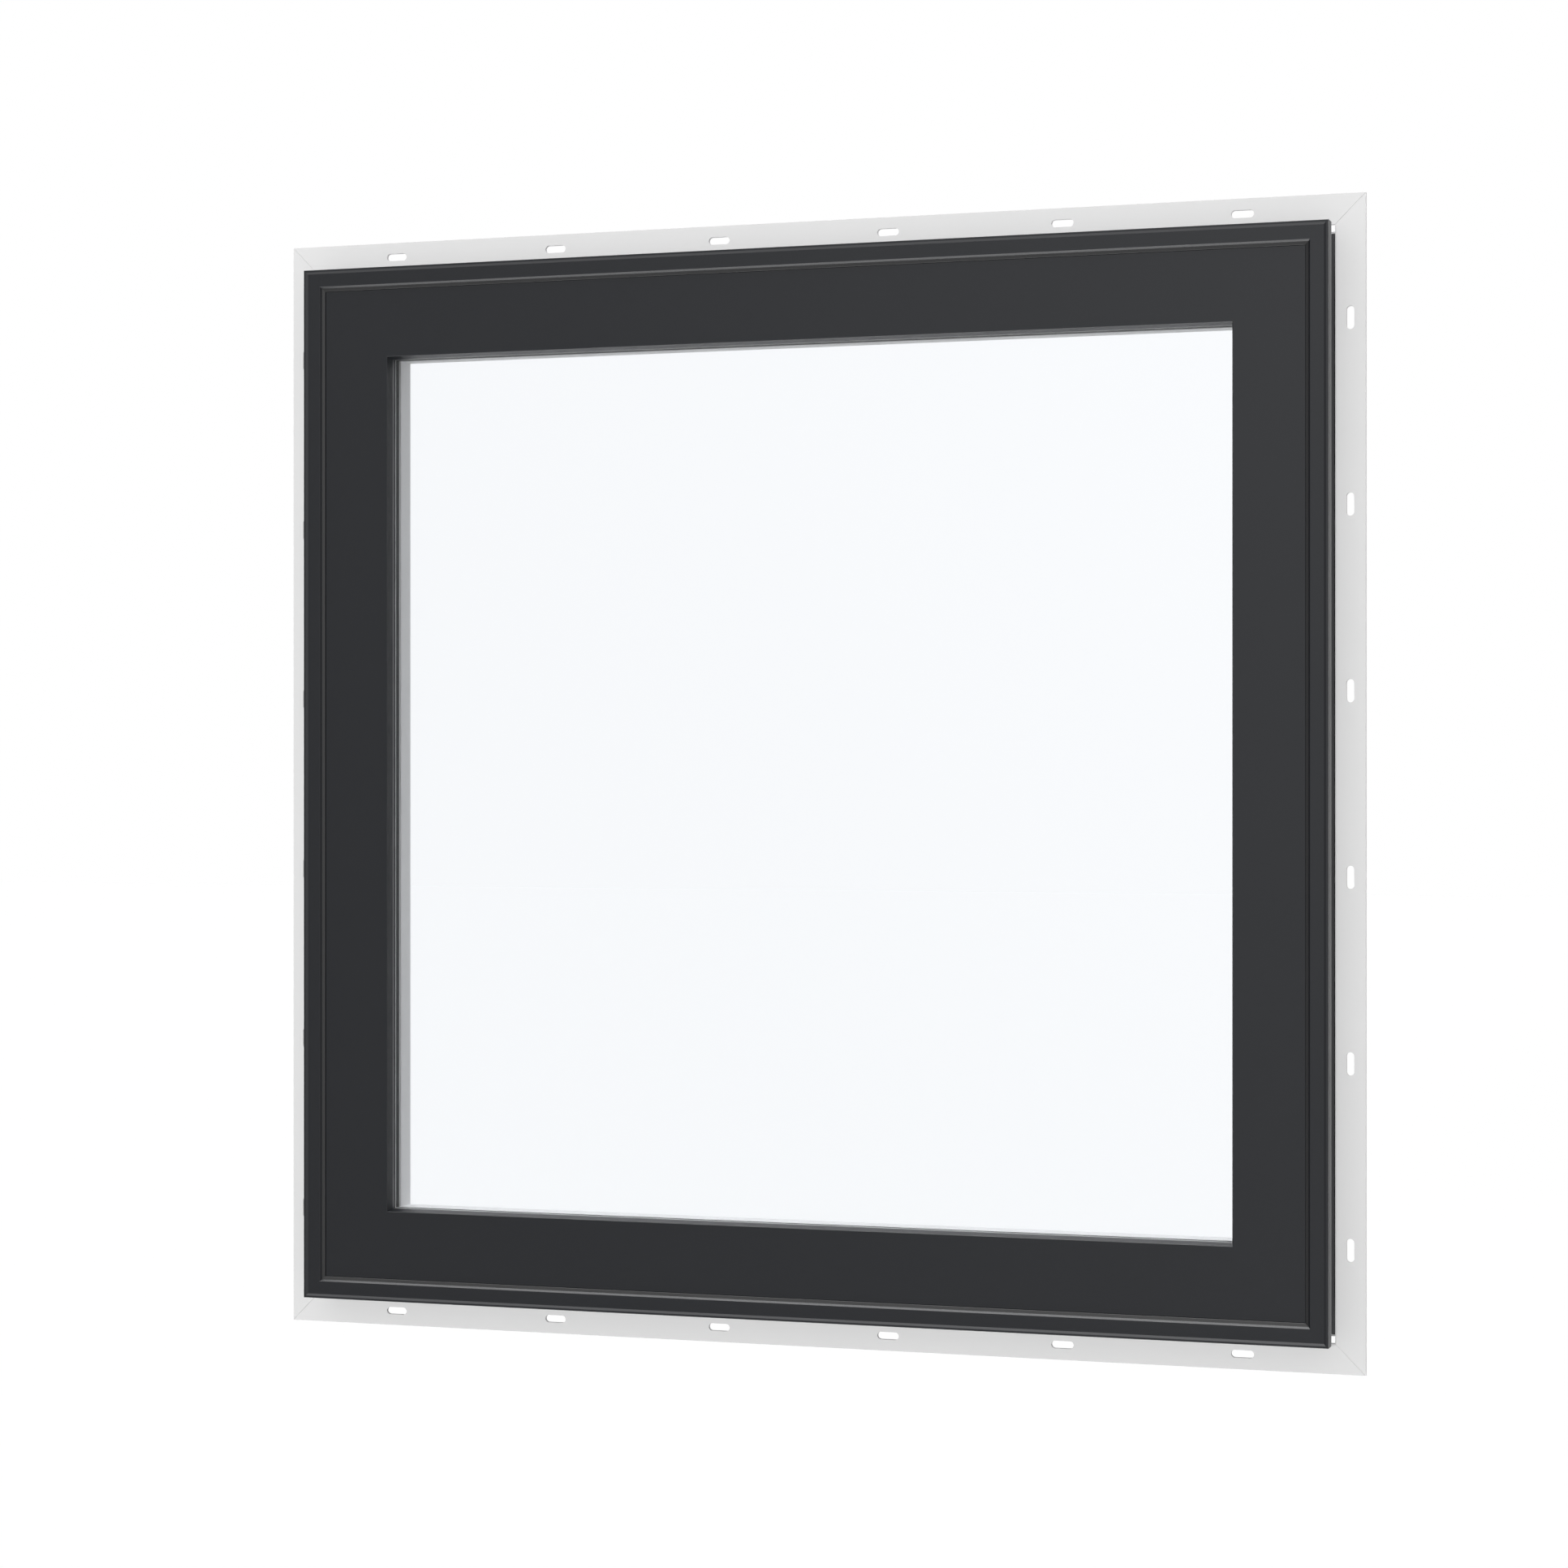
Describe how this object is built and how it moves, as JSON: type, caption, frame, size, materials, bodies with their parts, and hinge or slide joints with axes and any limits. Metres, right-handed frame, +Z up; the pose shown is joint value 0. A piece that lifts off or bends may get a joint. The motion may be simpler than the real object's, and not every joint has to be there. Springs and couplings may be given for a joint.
{
  "type": "awning window",
  "caption": "Closed square awning window with a dark outer frame and sash, white inner side, double glazing, slotted nail fin, crank operator and two sash locks.",
  "frame": {"origin": "back face of the sill's nail fin, on its slot line, at the middle of the width", "axes": "+X along the wall to the right seen from outside, +Y into the room, +Z up"},
  "size_m": [0.9652, 0.0992, 0.9652],
  "materials": {
    "dark_cladding": "satin charcoal black",
    "white_vinyl": "satin white",
    "fin_vinyl": "satin light grey",
    "clear_glass": "polished clear",
    "spacer": "matt dark grey",
    "black_seal": "matt black",
    "white_hardware": "satin white paint"
  },
  "bodies": {
    "root": {"nail_fin_head": "fin_vinyl", "nail_fin_sill": "fin_vinyl", "nail_fin_left": "fin_vinyl", "nail_fin_right": "fin_vinyl", "frame_head": "white_vinyl", "frame_sill": "white_vinyl", "frame_jamb_left": "white_vinyl", "frame_jamb_right": "white_vinyl", "frame_cladding_head": "dark_cladding", "frame_cladding_sill": "dark_cladding", "frame_cladding_left": "dark_cladding", "frame_cladding_right": "dark_cladding", "sash_top_rail": "white_vinyl", "sash_bottom_rail": "white_vinyl", "sash_stile_left": "white_vinyl", "sash_stile_right": "white_vinyl", "sash_cladding_head": "dark_cladding", "sash_cladding_sill": "dark_cladding", "sash_cladding_left": "dark_cladding", "sash_cladding_right": "dark_cladding", "weather_seal_head": "black_seal", "weather_seal_sill": "black_seal", "weather_seal_left": "black_seal", "weather_seal_right": "black_seal", "glass_outer": "clear_glass", "glass_inner": "clear_glass", "glass_spacer_head": "spacer", "glass_spacer_sill": "spacer", "glass_spacer_left": "spacer", "glass_spacer_right": "spacer", "glazing_bead_head": "white_vinyl", "glazing_bead_sill": "white_vinyl", "glazing_bead_left": "white_vinyl", "glazing_bead_right": "white_vinyl", "inner_seal": "black_seal", "operator_housing": "white_hardware", "crank_hub": "white_hardware", "crank_arm": "white_hardware", "crank_knob": "white_hardware", "lock_plate_left": "white_hardware", "lock_plate_right": "white_hardware", "lock_lever_left": "white_hardware", "lock_lever_right": "white_hardware"}
  },
  "joints": []
}
